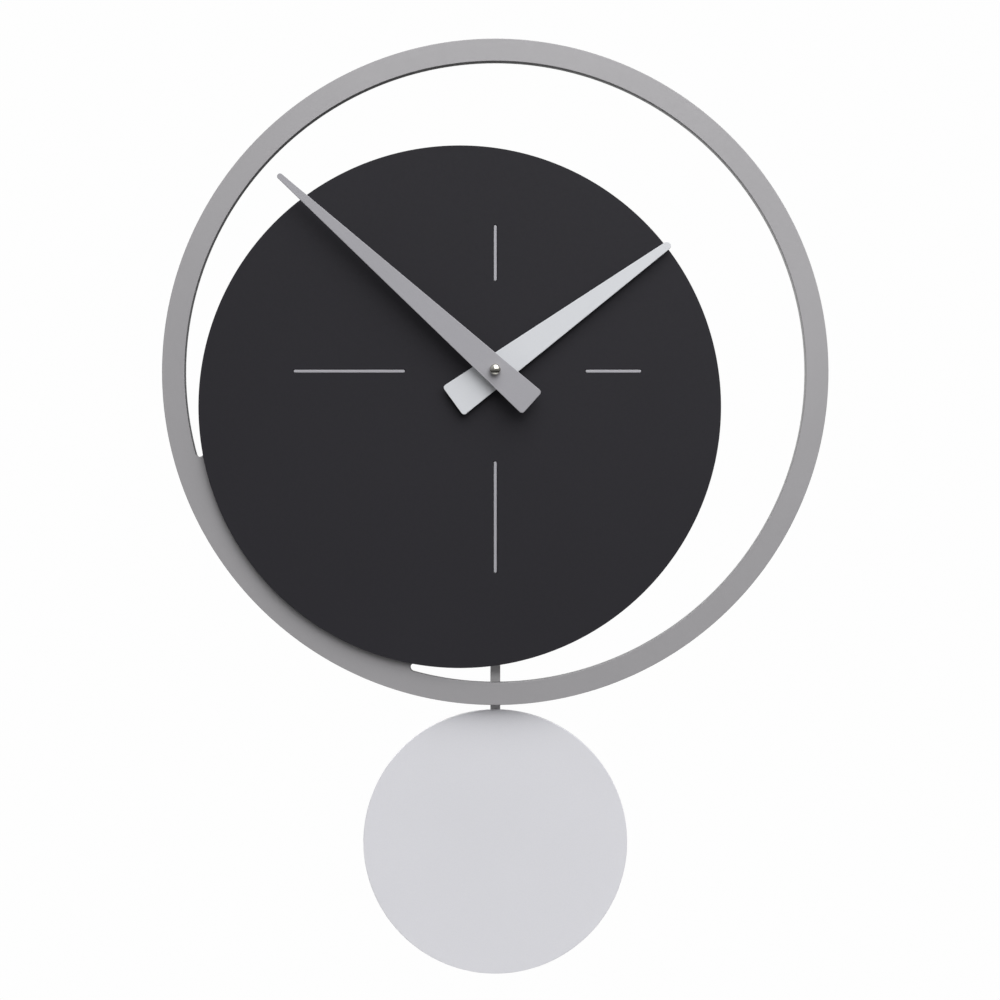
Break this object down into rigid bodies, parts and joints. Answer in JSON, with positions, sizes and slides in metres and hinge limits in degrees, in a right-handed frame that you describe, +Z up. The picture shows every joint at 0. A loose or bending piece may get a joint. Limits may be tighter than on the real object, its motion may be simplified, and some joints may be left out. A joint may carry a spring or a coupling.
{
  "type": "pendulum wall clock",
  "caption": "Round wall clock with an off-centre dark dial disc inside a ring plate, two tapered hands, and a disc pendulum on a flat rod, driven by a battery movement.",
  "frame": {"origin": "where the axis of the hand spindle meets the wall plane, on the movement's rear cover", "axes": "+Z up, +Y into the wall, the clock faces -Y, +X to the viewer's right"},
  "size_m": [0.4, 0.0522, 0.5635],
  "materials": {
    "silver_board": "smooth satin silver-grey paint on a laser-cut fibreboard sheet, edges dark",
    "mark_bar": "satin silver-grey paint",
    "charcoal_board": "matt charcoal paint on a fibreboard disc",
    "silver_hand": "satin silver-grey paint on thin sheet",
    "pale_hand": "satin pale grey paint on thin sheet",
    "pale_board": "smooth satin pale grey paint on a fibreboard disc",
    "rod_steel": "satin grey paint on a flat steel strip",
    "nickel": "bright nickel plate",
    "brass": "turned, slightly dull",
    "steel": "plain stamped sheet",
    "black_rubber": "matt",
    "case_plastic": "fine moulded texture",
    "chip_resin": "poured resin",
    "white_plastic": "moulded, natural white",
    "copper_wire": "enamelled copper wire, wound",
    "magnet_metal": "plated magnet",
    "circuit_laminate": "green solder mask",
    "battery_sleeve": "plain printed sleeve"
  },
  "bodies": {
    "movement": {"ring_plate": "silver_board", "mark_12": "mark_bar", "mark_3": "mark_bar", "mark_6": "mark_bar", "mark_9": "mark_bar", "dial_disc": "charcoal_board", "contact_negative": "nickel", "contact_positive": "nickel", "spindle_bush": "brass", "brass_washer": "brass", "hex_nut": "brass", "hanger_bracket": "steel", "rocker_pin": "steel", "stator": "steel", "coil_core": "steel", "stator_screw_left": "steel", "stator_screw_right": "steel", "quartz_crystal": "steel", "rubber_washer": "black_rubber", "front_case": "case_plastic", "rear_cover": "case_plastic", "clock_chip": "chip_resin", "middle_plate": "white_plastic", "train_plate": "white_plastic", "coil_bobbin": "white_plastic", "drive_bobbin": "white_plastic", "coil_winding": "copper_wire", "drive_winding": "copper_wire", "circuit_board": "circuit_laminate", "drive_board": "circuit_laminate"},
    "minute": {"minute_hand": "silver_hand", "minute_hand_collet": "nickel", "cap_nut": "nickel", "cannon_pinion": "brass", "centre_wheel": "white_plastic"},
    "hour": {"hour_hand": "pale_hand", "hour_hand_collet": "nickel", "hour_wheel": "white_plastic"},
    "minute_wheel": {"minute_wheel": "white_plastic"},
    "setting_knob": {"setting_knob": "white_plastic"},
    "third_wheel": {"third_wheel": "white_plastic"},
    "second_wheel": {"second_wheel": "white_plastic"},
    "intermediate_wheel": {"intermediate_wheel": "white_plastic"},
    "rotor": {"rotor_pinion": "white_plastic", "rotor_magnet": "magnet_metal"},
    "pendulum": {"rocker_arm": "white_plastic", "rocker_magnet": "magnet_metal", "hook_peg": "nickel", "pendulum_rod": "rod_steel", "pendulum_bob": "pale_board", "bob_clip": "steel", "bob_screw": "steel"},
    "battery": {"battery": "battery_sleeve"}
  },
  "joints": [
    {"name": "minute_hand_turn", "type": "hinge", "parent": "movement", "child": "minute", "pos_m": [0, 0, 0], "axis": [0, 1, 0], "continuous": true},
    {"name": "hour_hand_turn", "type": "hinge", "parent": "movement", "child": "hour", "pos_m": [0, 0, 0], "axis": [0, 1, 0], "continuous": true},
    {"name": "minute_wheel_turn", "type": "hinge", "parent": "movement", "child": "minute_wheel", "pos_m": [-0.01039, 0, 0.006], "axis": [0, 1, 0], "continuous": true},
    {"name": "setting_knob_turn", "type": "hinge", "parent": "movement", "child": "setting_knob", "pos_m": [-0.02167, 0, 0.0101], "axis": [0, 1, 0], "continuous": true},
    {"name": "third_wheel_turn", "type": "hinge", "parent": "movement", "child": "third_wheel", "pos_m": [0.00585, 0, 0.00835], "axis": [0, 1, 0], "continuous": true},
    {"name": "second_wheel_turn", "type": "hinge", "parent": "movement", "child": "second_wheel", "pos_m": [0.01473, 0, 0.01159], "axis": [0, 1, 0], "continuous": true},
    {"name": "intermediate_wheel_turn", "type": "hinge", "parent": "movement", "child": "intermediate_wheel", "pos_m": [0.01186, 0, 0.01948], "axis": [0, 1, 0], "continuous": true},
    {"name": "rotor_turn", "type": "hinge", "parent": "movement", "child": "rotor", "pos_m": [0.00562, 0, 0.02308], "axis": [0, 1, 0], "continuous": true},
    {"name": "pendulum_swing", "type": "hinge", "parent": "movement", "child": "pendulum", "pos_m": [0, -0.0155, -0.03472], "axis": [0, 1, 0], "range_deg": [-4, 4]},
    {"name": "battery_slide", "type": "slide", "parent": "movement", "child": "battery", "axis": [0, 1, 0], "range_m": [0, 0.02]}
  ],
  "couplings": [
    {"joint": "hour_hand_turn", "follows": "minute_hand_turn", "ratio": 0.083333},
    {"joint": "minute_wheel_turn", "follows": "minute_hand_turn", "ratio": -0.33333},
    {"joint": "setting_knob_turn", "follows": "minute_hand_turn", "ratio": 1},
    {"joint": "third_wheel_turn", "follows": "minute_hand_turn", "ratio": -7.5},
    {"joint": "second_wheel_turn", "follows": "minute_hand_turn", "ratio": 60},
    {"joint": "intermediate_wheel_turn", "follows": "minute_hand_turn", "ratio": -360},
    {"joint": "rotor_turn", "follows": "minute_hand_turn", "ratio": 1800}
  ]
}
